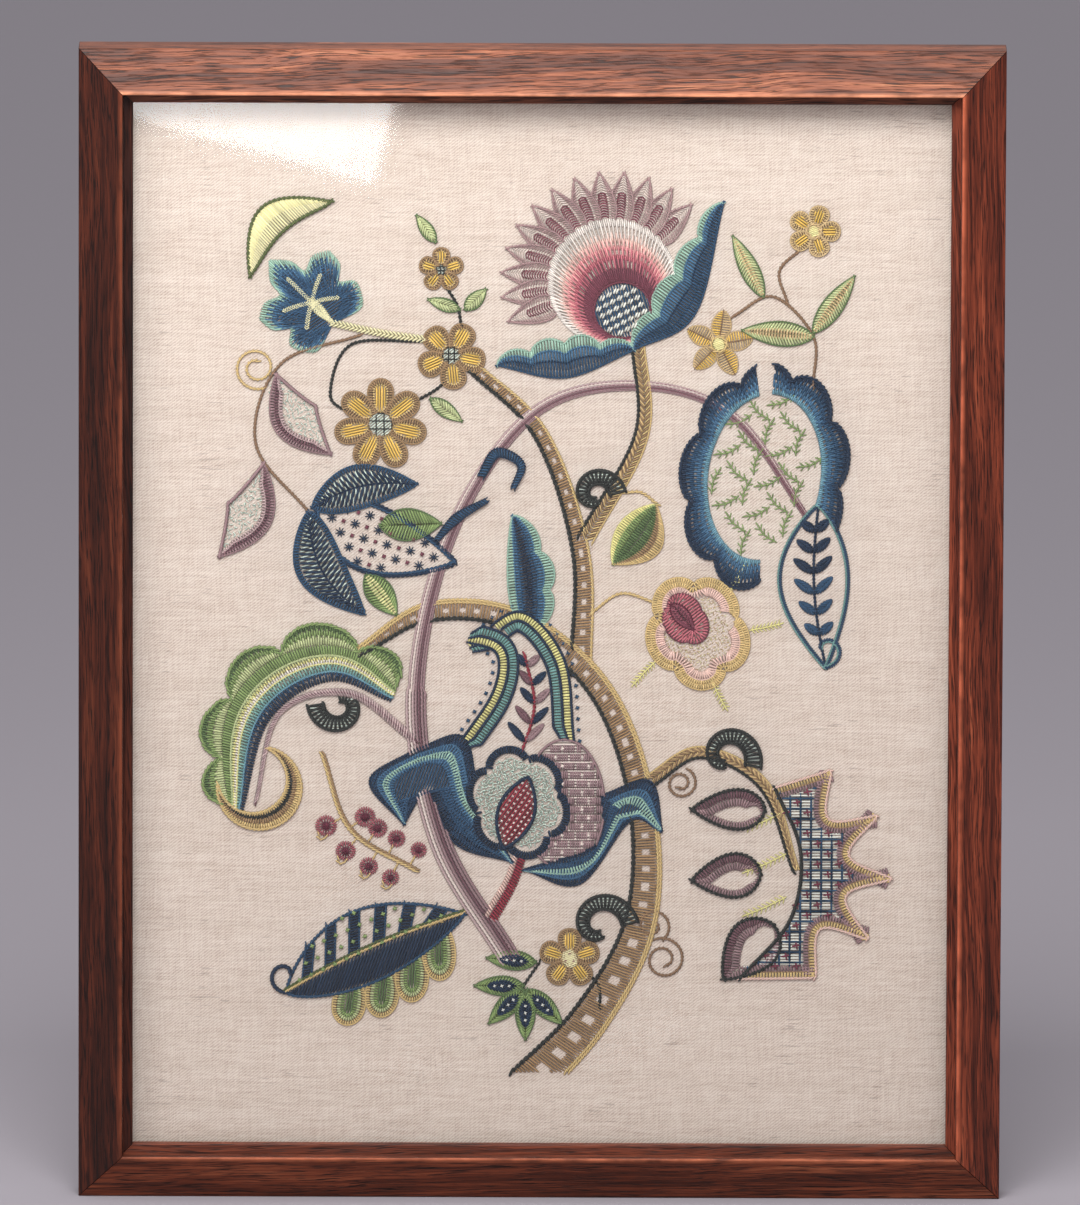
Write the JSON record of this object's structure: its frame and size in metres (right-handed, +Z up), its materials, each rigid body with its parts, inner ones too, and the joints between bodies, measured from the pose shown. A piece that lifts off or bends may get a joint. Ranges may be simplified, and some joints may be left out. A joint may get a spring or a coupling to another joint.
{
  "type": "crewel embroidery panel and picture frame",
  "caption": "Crewel wool embroidery of fantasy flowers and leaves on twill linen, mounted on a board behind glass in a mitred oak frame.",
  "frame": {"origin": "on the surface under the middle of the frame, at the bottom centre of its box", "axes": "+Z up along the frame's long side, +X to the viewer's right, the embroidered front faces -Y"},
  "size_m": [0.46, 0.0326, 0.58],
  "materials": {
    "oak": "stained and waxed oak, worn on the inner arris",
    "glass": "clear polished picture glass",
    "linen": "oatmeal linen twill worked in wool",
    "board": "plain matt board"
  },
  "bodies": {
    "root": {"rail_top": "oak", "rail_right": "oak", "rail_bottom": "oak", "rail_left": "oak", "glass": "glass", "linen": "linen", "backing_board": "board"}
  },
  "joints": []
}
